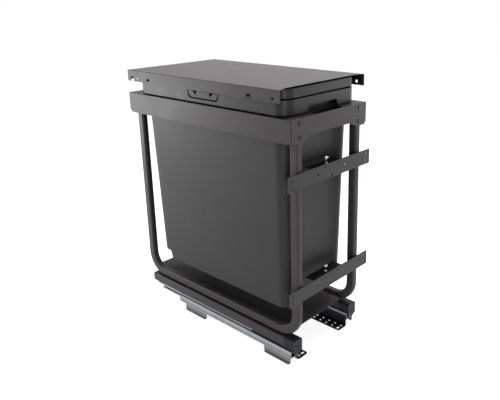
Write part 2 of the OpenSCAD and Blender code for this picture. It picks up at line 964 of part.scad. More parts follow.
// Pin on the runner cover that passes over the catch
module catch_pin_right() {
    inner = runner_x - runner_width / 2;
    mid_y = catch_y + catch_length / 2;
    color(ZINC)
        union() {
            box([unit_x - 3, mid_y - 6, cover_low + 3], [inner, mid_y + 6, cover_low + 5]);
            box([inner - 2, mid_y - 6, cover_low + 3], [inner, mid_y + 6, cover_low + 15]);
            translate([unit_x, mid_y, catch_top + 0.5])
                cylinder(h = cover_low + 4 - catch_top - 0.5, r = 2.4, $fn = 32);
        }
}

module catch_pin_left() {
    mirror([1, 0, 0])
        catch_pin_right();
}

// Cross bracket behind a door bar, with a shelf for the adjusting screw
module cross_bracket(z) {
    reach = tube_x + tube_width / 2;
    translate([0, 0, z])
        color(BLACK)
            difference() {
                union() {
                    upright(-bracket_face, sheet)
                        difference() {
                            translate([-reach, -12])
                                square([2 * reach, shelf_z + sheet + 12]);
                            translate([-12, -bar_adjust - 6])
                                square([24, 2 * bar_adjust + 6]);
                            for (s = [-1, 1])
                                translate([s * door_hole_x, 0])
                                    circle(r = bar_adjust + 3.4, $fn = 32);
                        }
                    box([-shelf_half, -bracket_face, shelf_z],
                        [shelf_half, -bracket_face + shelf_depth, shelf_z + sheet]);
                }
                translate([0, adjust_y, shelf_z - 1])
                    cylinder(h = sheet + 2, r = adjuster_d / 2 + run, $fn = 48);
            }
}

module cross_bracket_upper() {
    cross_bracket(upper_bar_z);
}

module cross_bracket_lower() {
    cross_bracket(lower_bar_z);
}

// Door bar with end slots, hole pattern and threaded lug
module door_bar(z) {
    translate([0, 0, z])
        color(DARK)
            difference() {
                union() {
                    upright(-bar_front, bar_steel)
                        difference() {
                            rounded(bar_length, bar_height, 1.5);
                            for (s = [-1, 1], e = [-1, 1])
                                translate([s * (bar_length / 2 - 10), e * 7.5])
                                    slot(4.2, 8);
                            for (s = [-1, 1]) {
                                translate([s * door_hole_x, 0])
                                    circle(r = 2.4, $fn = 32);
                                translate([s * 21.7, 9.8])
                                    circle(r = 1.8, $fn = 32);
                            }
                            translate([0, -door_hole_low])
                                circle(r = 2.2, $fn = 32);
                        }
                    box([-8, -bar_rear - 0.5, -lug_t], [8, adjust_y + 6, 0]);
                }
                translate([0, adjust_y, -lug_t - 1])
                    cylinder(h = lug_t + 2, r = adjuster_d / 2 + run, $fn = 48);
            }
}

module door_bar_upper() {
    door_bar(upper_bar_z);
}

module door_bar_lower() {
    door_bar(lower_bar_z);
}

// Adjusting screw held in the shelf by two collars
module adjuster(z) {
    translate([0, adjust_y, z])
        color(ZINC)
            difference() {
                union() {
                    translate([0, 0, -adjuster_tail])
                        cylinder(h = adjuster_tail + adjuster_rise, r = adjuster_d / 2, $fn = 48);
                    translate([0, 0, shelf_z + sheet + slack])
                        cylinder(h = 1.5, r = adjuster_d / 2 + 1.5, $fn = 48);
                    translate([0, 0, shelf_z - slack - 1.5])
                        cylinder(h = 1.5, r = adjuster_d / 2 + 1.5, $fn = 48);
                    translate([0, 0, adjuster_rise - 1])
                        cylinder(h = head_h, r = adjuster_d / 2 + 2.2, $fn = 48);
                }
                for (turn = [0, 90])
                    translate([0, 0, adjuster_rise - 1 + head_h])
                        rotate([0, 0, turn])
                            cube([1.2, 6, 3], center = true);
            }
}

module adjuster_upper() {
    adjuster(upper_bar_z);
}

module adjuster_lower() {
    adjuster(lower_bar_z);
}

top_cover();
floor_bracket_left();
floor_bracket_right();
fixed_rail_left();
fixed_rail_right();
soft_close_housing_left();
soft_close_housing_right();
damper_left();
damper_right();
catch_left();
catch_right();
middle_rail_left();
middle_rail_right();
lower_cage_left();
lower_cage_right();
upper_cage_left();
upper_cage_right();
drawer_rail_left();
drawer_rail_right();
runner_cover_left();
runner_cover_right();
front_cap_left();
front_cap_right();
rear_cap_left();
rear_cap_right();
catch_pin_left();
catch_pin_right();
base_plate();
tube_left();
tube_right();
support_ring();
ring_screws_front();
ring_screws_rear();
cross_bracket_upper();
cross_bracket_lower();
door_bar_upper();
door_bar_lower();
adjuster_upper();
adjuster_lower();
bin();
bin_rim();
handle_left();
handle_right();
bag_ring();
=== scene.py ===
"""Pull out bin frame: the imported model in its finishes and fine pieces, in a plain studio.

Lengths in the fields are millimetres. They turn into metres where a mesh is handed over.
"""
from __future__ import annotations

import json
import logging
import math
from collections.abc import Callable, Iterable, Mapping, Sequence
from dataclasses import dataclass, field
from enum import Enum
from typing import Any

import bmesh
import bpy
from mathutils import Matrix, Vector

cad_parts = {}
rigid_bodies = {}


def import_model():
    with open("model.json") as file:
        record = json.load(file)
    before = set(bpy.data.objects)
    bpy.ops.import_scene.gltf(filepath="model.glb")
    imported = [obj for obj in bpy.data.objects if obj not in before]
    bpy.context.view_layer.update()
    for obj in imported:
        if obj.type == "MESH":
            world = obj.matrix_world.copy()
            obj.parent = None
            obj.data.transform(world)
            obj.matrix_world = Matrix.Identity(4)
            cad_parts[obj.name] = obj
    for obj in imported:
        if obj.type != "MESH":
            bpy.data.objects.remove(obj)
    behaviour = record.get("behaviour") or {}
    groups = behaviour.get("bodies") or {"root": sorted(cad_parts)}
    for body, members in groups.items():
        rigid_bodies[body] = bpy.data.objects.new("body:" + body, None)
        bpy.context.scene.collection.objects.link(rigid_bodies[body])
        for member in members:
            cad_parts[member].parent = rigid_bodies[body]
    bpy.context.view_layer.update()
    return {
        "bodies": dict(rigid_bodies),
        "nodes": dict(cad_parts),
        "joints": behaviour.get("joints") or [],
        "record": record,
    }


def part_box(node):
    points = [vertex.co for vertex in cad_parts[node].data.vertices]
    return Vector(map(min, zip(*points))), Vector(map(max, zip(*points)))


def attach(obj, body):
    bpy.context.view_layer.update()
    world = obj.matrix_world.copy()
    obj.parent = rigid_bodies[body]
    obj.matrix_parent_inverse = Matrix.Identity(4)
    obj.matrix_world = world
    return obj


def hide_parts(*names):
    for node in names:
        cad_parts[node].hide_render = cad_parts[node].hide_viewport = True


LOG = logging.getLogger("bin_frame")
MM = 0.001
NEAR = 0.05  # millimetres within which two places count as one
WELD = 0.01  # millimetres within which points are merged
FLAT_TURN = math.radians(0.5)  # faces that turn by less are joined
SMOOTH_TURN = math.radians(32)  # edges that turn by more stay sharp
EDGE_TURN = math.radians(40)  # edges that turn by more get a small radius
BEND_TURN = 0.3  # edges that turn by more can be rounded as a bend
# painted shade: colours darken to this share deep in gaps and on the neck behind the rim
PAINTED_SHADE = 0.08  # share of a colour that is left deep in a gap
X, Y, Z = 0, 1, 2
Triple = tuple[float, float, float]
Colour = Triple
Number = int | float
WHITE: Colour = (1.0, 1.0, 1.0)


class Slot(Enum):
    """The record's material slots."""

    ANTHRACITE = "anthracite_steel"
    BLACK = "black_steel"
    BIN = "bin_grey"
    PLASTIC = "black_plastic"
    ZINC = "zinc_steel"
    SCREW = "zinc_screw"


class Side(Enum):
    """The two sides of the frame, seen from the door."""

    LEFT = "left"
    RIGHT = "right"


class End(Enum):
    """The two ends of the frame, the front being the door's."""

    FRONT = "front"
    REAR = "rear"


class Bar(Enum):
    """The two bars that take the door."""

    UPPER = "upper"
    LOWER = "lower"


class Wire:
    """One shader socket. Sums and products of wires add Math nodes to their graph."""

    def __init__(self, graph: Graph, socket: bpy.types.NodeSocket) -> None:
        """Keeps the socket and the graph that it belongs to."""
        self.graph = graph
        self.socket = socket

    def _math(self, operation: str, first: Wire | Number, second: Wire | Number) -> Wire:
        """Adds one Math node.

        Args:
            operation: The node's operation.
            first: Upper value.
            second: Lower value.

        Returns:
            The node's result.
        """
        return self.graph.node("ShaderNodeMath", {"operation": operation}, {0: first, 1: second})

    def __add__(self, other: Wire | Number) -> Wire:
        """self + other."""
        return self._math("ADD", self, other)

    def __radd__(self, other: Number) -> Wire:
        """other + self."""
        return self._math("ADD", other, self)

    def __sub__(self, other: Wire | Number) -> Wire:
        """self - other."""
        return self._math("SUBTRACT", self, other)

    def __rsub__(self, other: Number) -> Wire:
        """other - self."""
        return self._math("SUBTRACT", other, self)

    def __mul__(self, other: Wire | Number) -> Wire:
        """self * other."""
        return self._math("MULTIPLY", self, other)

    def __rmul__(self, other: Number) -> Wire:
        """other * self."""
        return self._math("MULTIPLY", other, self)

    def clamp(self) -> Wire:
        """The value held between 0 and 1."""
        return self.graph.node("ShaderNodeClamp", {}, {"Value": self})

    def swing(self) -> Wire:
        """How far the value is above or below a half."""
        return self - 0.5

    def spread(self, low: float, high: float) -> Wire:
        """The value stretched so that low becomes 0 and high becomes 1.

        Args:
            low: Value that becomes 0.
            high: Value that becomes 1.

        Returns:
            The stretched value, held between 0 and 1.
        """
        return self.graph.node(
            "ShaderNodeMapRange", {"clamp": True}, {"Value": self, "From Min": low, "From Max": high}
        )


@dataclass
class Graph:
    """A node tree that is written as Python expressions."""

    tree: bpy.types.NodeTree

    def node(
        self,
        kind: str,
        settings: Mapping[str, Any] | None = None,
        sockets: Mapping[str | int, Any] | None = None,
        output: str | int = 0,
    ) -> Wire:
        """Adds one node.

        Args:
            kind: Blender's name of the node's type.
            settings: Attributes, which are set first.
            sockets: Values or wires of the inputs.
            output: The output that is wanted.

        Returns:
            The wanted output.
        """
        made = self.tree.nodes.new(kind)
        for key, value in (settings or {}).items():
            setattr(made, key, value)
        for key, value in (sockets or {}).items():
            if isinstance(value, Wire):
                self.tree.links.new(value.socket, made.inputs[key])
            else:
                made.inputs[key].default_value = value
        return Wire(self, made.outputs[output])

    def noise(self, place: Wire, size: float, detail: float = 2.0, roughness: float = 0.5) -> Wire:
        """Cloudy noise.

        Args:
            place: Coordinates in metres.
            size: Size of one cloud in millimetres.
            detail: Number of finer layers.
            roughness: Weight of the finer layers.

        Returns:
            A value round 0.5.
        """
        sockets = {"Vector": place, "Scale": 1.0 / (size * MM), "Detail": detail, "Roughness": roughness}
        return self.node("ShaderNodeTexNoise", {}, sockets)

    def scaled(self, place: Wire, scale: Triple) -> Wire:
        """Coordinates stretched along the axes."""
        return self.node("ShaderNodeVectorMath", {"operation": "MULTIPLY"}, {0: place, 1: scale})

    def mix(self, first: Wire | Colour, second: Wire | Colour, factor: Wire | float) -> Wire:
        """Mixes two colours.

        Args:
            first: Colour at factor 0.
            second: Colour at factor 1.
            factor: Share of the second colour.

        Returns:
            The mixed colour.
        """
        ends = [c if isinstance(c, Wire) else (*c, 1.0) for c in (first, second)]
        return self.node("ShaderNodeMix", {"data_type": "RGBA"}, {0: factor, 6: ends[0], 7: ends[1]}, 2)

    def bump(self, height: Wire, depth: float, strength: float) -> Wire:
        """Fine relief.

        Args:
            height: Height map from 0 to 1.
            depth: Depth of the relief in millimetres.
            strength: How much of it shows.

        Returns:
            The bent normal.
        """
        sockets = {"Height": height, "Distance": depth * MM, "Strength": strength}
        return self.node("ShaderNodeBump", {}, sockets)

    def part(self, vector: Wire, axis: str) -> Wire:
        """One part of a vector."""
        return self.node("ShaderNodeSeparateXYZ", {}, {0: vector}, axis)

    def gap_shade(self, reach: float) -> Wire:
        """How far a place is shut in by what stands near it, from ambient occlusion; the finishes darken
        their colour by it as painted shade.

        Args:
            reach: Distance in millimetres within which things count.

        Returns:
            0 in the open and 1 deep in a gap.
        """
        shut, free = 0.3, 0.95
        sockets = {"Distance": reach * MM}
        light = self.node("ShaderNodeAmbientOcclusion", {"samples": 6}, sockets, "AO")
        return 1.0 - light.spread(shut, free)

    def seen(self) -> Wire:
        """Tells seen rays from soft light.

        Returns:
            1 for what the camera sees directly, in a gloss or through glass, and 0 for soft light.
        """
        kinds = ("Camera", "Glossy", "Transmission")
        rays = [self.node("ShaderNodeLightPath", output=f"Is {kind} Ray") for kind in kinds]
        return (rays[0] + rays[1] + rays[2]).clamp()

    def finish(self, shader: Wire, kind: str = "ShaderNodeOutputMaterial") -> None:
        """Ends the graph in its output node.

        Args:
            shader: The finished shader.
            kind: Blender's name of the output node's type.
        """
        last = self.tree.nodes.new(kind)
        self.tree.links.new(shader.socket, last.inputs["Surface"])


def shade(colour: Colour, factor: float) -> Colour:
    """The colour made lighter or darker by a factor."""
    return (colour[0] * factor, colour[1] * factor, colour[2] * factor)


@dataclass(frozen=True)
class Finish:
    """What every finish has: a name, its plain colour and its gloss."""

    name: str
    colour: Colour
    roughness: float

    def material(self) -> bpy.types.Material:
        """Makes the material.

        Returns:
            A material with this finish's nodes.
        """
        made = bpy.data.materials.new(self.name)
        made.use_nodes = True
        made.node_tree.nodes.clear()
        graph = Graph(made.node_tree)
        graph.finish(self.paint(graph))
        return made

    def paint(self, graph: Graph) -> Wire:
        """Builds the surface shader; each finish has its own."""
        raise NotImplementedError


@dataclass(frozen=True)
class PowderCoat(Finish):
    """Baked powder paint on steel: fine pebbled grain, slow clouds in colour and gloss, with shade painted
    into its colour in gaps.
    """

    grain: float = 0.75
    cloud: float = 70.0
    cloud_tints: tuple[float, float] = (0.92, 1.08)
    speck: float = 2.2
    speck_tint: float = 1.25
    speck_share: float = 0.35
    rough_cloud: float = 0.12
    rough_grain: float = 0.08
    reach: float = 50.0
    depth: float = 0.05
    relief: float = 0.35
    specular: float = 0.16

    def paint(self, graph: Graph) -> Wire:
        """Builds the paint's shader.

        Args:
            graph: Graph of the new material.

        Returns:
            The surface shader.
        """
        place = graph.node("ShaderNodeTexCoord", output="Object")
        pebble = graph.noise(place, self.grain)
        cloud = graph.noise(place, self.cloud, detail=3.0)
        speck = graph.noise(place, self.speck, detail=1.0).spread(low=0.62, high=0.72)
        colour = graph.mix(*(shade(self.colour, tint) for tint in self.cloud_tints), cloud)
        colour = graph.mix(colour, shade(self.colour, self.speck_tint), self.speck_share * speck)
        # painted shade: the paint darkens where ambient occlusion finds gaps and nearby parts
        colour = graph.mix(colour, shade(self.colour, PAINTED_SHADE), graph.gap_shade(self.reach))
        rough = self.roughness + self.rough_cloud * cloud.swing() + self.rough_grain * pebble.swing()
        sockets = {
            "Base Color": colour,
            "Roughness": rough.clamp(),
            "Specular IOR Level": self.specular,
            "Normal": graph.bump(pebble, self.depth, self.relief),
        }
        return graph.node("ShaderNodeBsdfPrincipled", {}, sockets)


@dataclass(frozen=True)
class MouldedPlastic(Finish):
    """Moulded plastic: fine spark-eroded grain, slow flow clouds and faint rubbed places.

    The top band is smoother. Shade is painted into the colour in gaps on the side faces and on the neck's
    outer face behind the rim.
    """

    grain: float = 0.5
    flow: float = 120.0
    flow_tints: tuple[float, float] = (0.93, 1.07)
    rub: float = 26.0
    rub_stretch: Triple = (1.0, 1.0, 0.25)
    rub_tint: float = 1.18
    rub_share: float = 0.15
    rub_smoother: float = 0.05
    rough_grain: float = 0.08
    reach: float = 50.0
    smooth_from: float = 525.0
    smoother: float = 0.05
    neck_shade_from: float = 1000.0
    blend: float = 1.0
    depth: float = 0.04
    relief: float = 0.3
    specular: float = 0.16

    def paint(self, graph: Graph) -> Wire:
        """Builds the plastic's shader.

        Args:
            graph: Graph of the new material.

        Returns:
            The surface shader.
        """
        place = graph.node("ShaderNodeTexCoord", output="Object")
        grain = graph.noise(place, self.grain, roughness=0.6)
        flow = graph.noise(place, self.flow)
        upright = graph.scaled(place, self.rub_stretch)
        rubbed = graph.noise(upright, self.rub, detail=4.0, roughness=0.6).spread(low=0.52, high=0.72)
        colour = graph.mix(*(shade(self.colour, tint) for tint in self.flow_tints), flow)
        colour = graph.mix(colour, shade(self.colour, self.rub_tint), self.rub_share * rubbed)
        facing = graph.node("ShaderNodeTexCoord", output="Normal")
        side = 1.0 - graph.part(facing, "Z").spread(low=0.6, high=0.8)
        height = graph.part(place, "Z")
        across, along = (graph.part(facing, axis) * graph.part(place, axis) for axis in ("X", "Y"))
        # painted shade: outward faces above the neck height are darkened, as if shaded by the rim in front
        # of them
        above = height.spread(self.neck_shade_from * MM, (self.neck_shade_from + self.blend) * MM)
        neck = above * (across + along).spread(low=0.02, high=0.05)
        # painted shade: side faces darken in gaps found by ambient occlusion
        dark = (side * graph.gap_shade(self.reach) + neck).clamp()
        colour = graph.mix(colour, shade(self.colour, PAINTED_SHADE), dark)
        band = height.spread(self.smooth_from * MM, (self.smooth_from + self.blend) * MM)
        rough = self.roughness + self.rough_grain * grain.swing()
        rough = rough - self.rub_smoother * rubbed - self.smoother * band
        sockets = {
            "Base Color": colour,
            "Roughness": rough.clamp(),
            "Specular IOR Level": self.specular,
            "Normal": graph.bump(grain, self.depth, self.relief),
        }
        return graph.node("ShaderNodeBsdfPrincipled", {}, sockets)


@dataclass(frozen=True)
class ZincStrip(Finish):
    """Galvanised strip steel: drawn lines along the runner, cloudy zinc, a few dull spots and shade painted
    into its colour in gaps.
    """

    line: float = 0.6
    line_stretch: Triple = (1.0, 0.012, 1.0)
    line_share: float = 0.3
    cloud: float = 24.0
    cloud_tint: float = 0.86
    spot: float = 6.0
    spot_share: float = 0.15
    rough_line: float = 0.16
    rough_cloud: float = 0.1
    rough_spot: float = 0.06
    dull: Colour = (0.2, 0.21, 0.225)
    reach: float = 40.0
    gap_tint: float = 0.12
    gap_share: float = 0.95
    depth: float = 0.02
    relief: float = 0.3

    def paint(self, graph: Graph) -> Wire:
        """Builds the metal's shader.

        Args:
            graph: Graph of the new material.

        Returns:
            The surface shader.
        """
        place = graph.node("ShaderNodeTexCoord", output="Object")
        lengthwise = graph.scaled(place, self.line_stretch)
        drawn = graph.noise(lengthwise, self.line, detail=3.0, roughness=0.7)
        cloud = graph.noise(place, self.cloud, detail=4.0, roughness=0.6)
        spot = graph.noise(place, self.spot).spread(low=0.6, high=0.75)
        colour = graph.mix(shade(self.colour, self.cloud_tint), self.colour, cloud.spread(low=0.3, high=0.7))
        worn = self.line_share * drawn.spread(low=0.35, high=0.75) + self.spot_share * spot
        colour = graph.mix(colour, self.dull, worn)
        # painted shade: the zinc darkens towards a dark dull tone in gaps found by ambient occlusion
        dark = self.gap_share * graph.gap_shade(self.reach)
        colour = graph.mix(colour, shade(self.dull, self.gap_tint), dark)
        rough = self.roughness + self.rough_line * drawn.swing() + self.rough_cloud * cloud.swing()
        sockets = {
            "Base Color": colour,
            "Metallic": 1.0,
            "Roughness": (rough + self.rough_spot * spot).clamp(),
            "Normal": graph.bump(drawn, self.depth, self.relief),
        }
        return graph.node("ShaderNodeBsdfPrincipled", {}, sockets)


@dataclass(frozen=True)
class ZincPlate(Finish):
    """Bright zinc plating on turned screws: fine turning marks and a thin haze."""

    haze: Colour = (0.5, 0.5, 0.48)
    haze_size: float = 3.0
    haze_share: float = 0.5
    mark: float = 0.25
    mark_stretch: Triple = (0.2, 0.2, 1.0)
    rough_haze: float = 0.14
    rough_mark: float = 0.06
    depth: float = 0.01
    relief: float = 0.2

    def paint(self, graph: Graph) -> Wire:
        """Builds the plating's shader.

        Args:
            graph: Graph of the new material.

        Returns:
            The surface shader.
        """
        place = graph.node("ShaderNodeTexCoord", output="Object")
        turned = graph.noise(graph.scaled(place, self.mark_stretch), self.mark, roughness=0.6)
        haze = graph.noise(place, self.haze_size, detail=3.0).spread(low=0.45, high=0.7)
        rough = self.roughness + self.rough_haze * haze + self.rough_mark * turned
        sockets = {
            "Base Color": graph.mix(self.colour, self.haze, self.haze_share * haze),
            "Metallic": 1.0,
            "Roughness": rough.clamp(),
            "Normal": graph.bump(turned, self.depth, self.relief),
        }
        return graph.node("ShaderNodeBsdfPrincipled", {}, sockets)


ANTHRACITE: Colour = (0.081, 0.0735, 0.0755)
BIN_GREY: Colour = (0.062, 0.062, 0.063)
FINISHES: dict[Slot, Finish] = {
    Slot.ANTHRACITE: PowderCoat("anthracite_powder_coat", ANTHRACITE, 0.42),
    Slot.BLACK: PowderCoat("black_coat", (0.024, 0.0255, 0.03), 0.4, grain=0.5, specular=0.22),
    Slot.BIN: MouldedPlastic("grey_bin_plastic", BIN_GREY, 0.45),
    Slot.PLASTIC: MouldedPlastic("black_plastic", (0.028, 0.029, 0.033), 0.48, grain=0.4),
    Slot.ZINC: ZincStrip("zinc_strip", (0.43, 0.45, 0.47), 0.41),
    Slot.SCREW: ZincPlate("bright_zinc_plate", (0.7, 0.71, 0.72), 0.24),
}


@dataclass(frozen=True)
class Extent:
    """Lowest and highest corner of a CAD node in millimetres."""

    low: Vector
    high: Vector

    @classmethod
    def of(cls, node: str) -> Extent:
        """The extent of a node at rest."""
        low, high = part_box(node)
        return cls(low / MM, high / MM)


@dataclass(frozen=True)
class Level:
    """One level of a rounded rectangular shell: half sizes, corner radius, height and offset along Y."""

    x: float
    y: float
    radius: float
    z: float
    offset: float = 0.0

    def points(self, centre_y: float, steps: int = 12, guard: float = 2.5) -> list[Vector]:
        """The level's outline.

        Args:
            centre_y: Middle of the shell along Y.
            steps: Steps in each rounded corner.
            guard: Distance of the guard points beside the corners, which keep the flats flat.

        Returns:
            Points in turn round the outline.
        """
        made: list[Vector] = []
        for quarter, (sx, sy) in enumerate(((1, 1), (-1, 1), (-1, -1), (1, -1))):
            middle = Vector((sx * (self.x - self.radius), sy * (self.y - self.radius)))
            arc = [math.pi / 2 * (quarter + i / steps) for i in range(steps + 1)]
            ring = [middle + self.radius * Vector((math.cos(a), math.sin(a))) for a in arc]
            before = ring[0] - guard * Vector((-math.sin(arc[0]), math.cos(arc[0])))
            after = ring[-1] + guard * Vector((-math.sin(arc[-1]), math.cos(arc[-1])))
            made += [Vector((p.x, p.y + centre_y + self.offset, self.z)) for p in (before, *ring, after)]
        return made


class Solid:
    """A closed mesh in the making, in millimetres."""

    def __init__(self) -> None:
        """Starts with an empty mesh."""
        self.bm = bmesh.new()

    @classmethod
    def from_node(cls, node: bpy.types.Object) -> Solid:
        """A copy of a CAD node, its triangles joined to flat faces.

        Args:
            node: The CAD node's object.

        Returns:
            The copy.
        """
        made = cls()
        mesh = node.data.copy()
        bent = mesh.attributes.get("custom_normal")
        if bent is not None:
            mesh.attributes.remove(bent)
        made.bm.from_mesh(mesh)
        bpy.data.meshes.remove(mesh)
        bmesh.ops.scale(made.bm, vec=(1 / MM,) * 3, verts=made.bm.verts)
        bmesh.ops.remove_doubles(made.bm, verts=made.bm.verts, dist=WELD)
        bmesh.ops.dissolve_limit(made.bm, angle_limit=FLAT_TURN, verts=made.bm.verts, edges=made.bm.edges)
        return made

    @classmethod
    def loft(cls, rings: Sequence[Sequence[Vector]], capped: bool = True) -> Solid:
        """A skin over rings of equally many points.

        Args:
            rings: The rings in turn.
            capped: Whether the two end rings are closed with a face, otherwise they join each other.

        Returns:
            The solid.
        """
        made = cls()
        rows = [[made.bm.verts.new(p) for p in ring] for ring in rings]
        pairs = list(zip(rows, rows[1:]))
        if not capped:
            pairs.append((rows[-1], rows[0]))
        count = len(rows[0])
        for low, high in pairs:
            for i in range(count):
                j = (i + 1) % count
                made.bm.faces.new((low[i], low[j], high[j], high[i]))
        if capped:
            made.bm.faces.new(rows[0][::-1])
            made.bm.faces.new(rows[-1])
        return made

    @classmethod
    def turned(cls, profile: Sequence[tuple[float, float]], sides: int = 40) -> Solid:
        """A turned piece about Z.

        Args:
            profile: Radius and height of each level from the bottom up.
            sides: Number of sides.

        Returns:
            The solid.
        """
        turns = [2 * math.pi * i / sides for i in range(sides)]
        return cls.loft([[Vector((r * math.cos(a), r * math.sin(a), z)) for a in turns] for r, z in profile])

    @classmethod
    def prism(cls, outline: Sequence[tuple[float, float]], low: float, high: float) -> Solid:
        """An upright prism.

        Args:
            outline: Corners in X and Y.
            low: Height of its bottom.
            high: Height of its top.

        Returns:
            The solid.
        """
        return cls.loft([[Vector((x, y, z)) for x, y in outline] for z in (low, high)])

    def place(self, matrix: Matrix) -> Solid:
        """Moves the solid by a matrix and returns it."""
        self.bm.transform(matrix)
        return self

    def join(self, other: Solid) -> Solid:
        """Takes another solid in as a further shell.

        Args:
            other: The other solid, which is used up.

        Returns:
            This solid.
        """
        mesh = bpy.data.meshes.new("joined")
        other.bm.to_mesh(mesh)
        other.bm.free()
        self.bm.from_mesh(mesh)
        bpy.data.meshes.remove(mesh)
        return self

    def fillet(self, wanted: Callable[[Vector, Vector], bool], radius: float, steps: int = 4) -> Solid:
        """Rounds chosen edges.

        Args:
            wanted: Says of an edge's two end points whether it is rounded.
            radius: Radius of the rounding.
            steps: Steps of the rounding.

        Returns:
            This solid.
        """
        edges = [e for e in self.bm.edges if not e.is_convex or e.calc_face_angle(0.0) > BEND_TURN]
        chosen = [e for e in edges if wanted(e.verts[0].co, e.verts[1].co)]
        bmesh.ops.bevel(
            self.bm,
            geom=chosen,
            offset=radius,
            segments=steps,
            profile=0.5,
            affect="EDGES",
            clamp_overlap=True,
        )
        return self

    def mesh(self, name: str) -> bpy.types.Mesh:
        """Hands the solid over as a mesh in metres.

        Args:
            name: Name of the mesh.

        Returns:
            The mesh, smooth across its flat angles.
        """
        bmesh.ops.recalc_face_normals(self.bm, faces=self.bm.faces)
        bmesh.ops.scale(self.bm, vec=(MM,) * 3, verts=self.bm.verts)
        made = bpy.data.meshes.new(name)
        self.bm.to_mesh(made)
        self.bm.free()
        made.materials.clear()
        made.shade_smooth()
        made.set_sharp_from_angle(angle=SMOOTH_TURN)
        return made


@dataclass
class Workshop:
    """Hands finished pieces over to the frame and dresses the nodes that keep their CAD shape."""

    nodes: dict[str, bpy.types.Object]
    finishes: dict[Slot, bpy.types.Material]
    node_slots: dict[str, Slot]
    node_bodies: dict[str, str]
    made: set[str] = field(default_factory=set)

    @classmethod
    def open(cls, frame: Mapping[str, Any]) -> Workshop:
        """Sets up the workshop.


        Returns:
            The workshop with every finish mixed.
        """
        record = frame["record"]
        slots = {part["node"]: Slot(part["material_slot"]) for part in record["subparts"]}
        bodies = {node: body for body, nodes in record["behaviour"]["bodies"].items() for node in nodes}
        return cls(frame["nodes"], {slot: f.material() for slot, f in FINISHES.items()}, slots, bodies)

    def coat(self, node: str, finish: Finish | None) -> bpy.types.Material:
        """The material of a finish, or of a node's slot where there is none.

        Args:
            node: The node.
            finish: Its own finish.

        Returns:
            The material, mixed once.
        """
        if finish is None:
            return self.finishes[self.node_slots[node]]
        return bpy.data.materials.get(finish.name) or finish.material()

    def soften(self, piece: bpy.types.Object, edge: float) -> None:
        """Rounds a piece's sharp edges a little and keeps its flats flat.

        Args:
            piece: The piece.
            edge: Radius of the small edges.
        """
        bevel = piece.modifiers.new("small_edges", "BEVEL")
        bevel.width = edge * MM
        bevel.segments = 2
        bevel.limit_method = "ANGLE"
        bevel.angle_limit = EDGE_TURN
        bevel.harden_normals = True
        flat = piece.modifiers.new("flat_normals", "WEIGHTED_NORMAL")
        flat.keep_sharp = True

    def piece(
        self, name: str, solid: Solid, node: str, edge: float = 0.25, finish: Finish | None = None
    ) -> bpy.types.Object:
        """Hands one piece over.

        Args:
            name: Name of the piece.
            solid: Its solid.
            node: The CAD node that it stands for.
            edge: Radius of its small edges.
            finish: Its own finish, where it isn't the plain one of the node's slot.

        Returns:
            The piece, riding on the node's body.
        """
        made = bpy.data.objects.new(name, solid.mesh(name))
        bpy.context.scene.collection.objects.link(made)
        made.data.materials.append(self.coat(node, finish))
        if edge > 0:
            self.soften(made, edge)
        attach(made, self.node_bodies[node])
        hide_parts(node)
        self.made.add(node)
        LOG.info("%s: %d faces, rides on %s", name, len(made.data.polygons), self.node_bodies[node])
        return made

    def carve(self, piece: bpy.types.Object, cutter: Solid) -> None:
        """Cuts a solid out of a piece.

        Args:
            piece: The piece.
            cutter: The solid to take away.
        """
        tool = bpy.data.objects.new("cutter", cutter.mesh("cutter"))
        bpy.context.scene.collection.objects.link(tool)
        cut = piece.modifiers.new("cut", "BOOLEAN")
        cut.operation = "DIFFERENCE"
        cut.solver = "EXACT"
        cut.object = tool
        others = [m for m in piece.modifiers if m.name != cut.name]
        for other in others:
            other.show_viewport = False
        graph = bpy.context.evaluated_depsgraph_get()
        mesh = bpy.data.meshes.new_from_object(piece.evaluated_get(graph))
        mesh.set_sharp_from_angle(angle=SMOOTH_TURN)
        piece.modifiers.remove(cut)
        old = piece.data
        mesh.name = old.name
        piece.data = mesh
        bpy.data.meshes.remove(old)
        bpy.data.objects.remove(tool)
        for other in others:
            other.show_viewport = True

    def keep(self, node: str, edge: float, finish: Finish | None = None) -> None:
        """Dresses a node that keeps its CAD shape.

        Args:
            node: The node.
            edge: Radius of its small edges.
            finish: Its own finish, where it isn't the plain one of its slot.
        """
        kept = self.nodes[node]
        kept.data.materials.clear()
        kept.data.materials.append(self.coat(node, finish))
        weld = kept.modifiers.new("weld", "WELD")
        weld.merge_threshold = WELD * MM
        flat = kept.modifiers.new("flat_faces", "DECIMATE")
        flat.decimate_type = "DISSOLVE"
        flat.angle_limit = FLAT_TURN
        self.soften(kept, edge)
        self.made.add(node)
        LOG.info("%s: keeps its CAD shape", node)


def all_at(points: Iterable[Vector], axis: int, value: float) -> bool:
    """Whether points lie at one place along an axis.

    Args:
        points: The points.
        axis: X, Y or Z.
        value: The place.

    Returns:
        True where each of them is near it.
    """
    return all(abs(p[axis] - value) < NEAR for p in points)


def all_out_at(points: Iterable[Vector], axis: int, value: float) -> bool:
    """Whether points lie equally far out along an axis, on either side of the middle.

    Args:
        points: The points.
        axis: X, Y or Z.
        value: The distance from the middle.

    Returns:
        True where each of them is near it.
    """
    return all(abs(abs(p[axis]) - value) < NEAR for p in points)


def on_outline(point: Vector, half: tuple[float, float], radius: float, centre_y: float) -> bool:
    """Whether a point lies on a rounded rectangle.

    Args:
        point: The point.
        half: Half sizes of the rectangle.
        radius: Its corner radius.
        centre_y: Its middle along Y.

    Returns:
        True within a tenth of a millimetre.
    """
    dx = abs(point.x) - (half[0] - radius)
    dy = abs(point.y - centre_y) - (half[1] - radius)
    if dx > 0 and dy > 0:
        return abs(math.hypot(dx, dy) - radius) < 2 * NEAR
    return abs(max(dx, dy) - radius) < 2 * NEAR


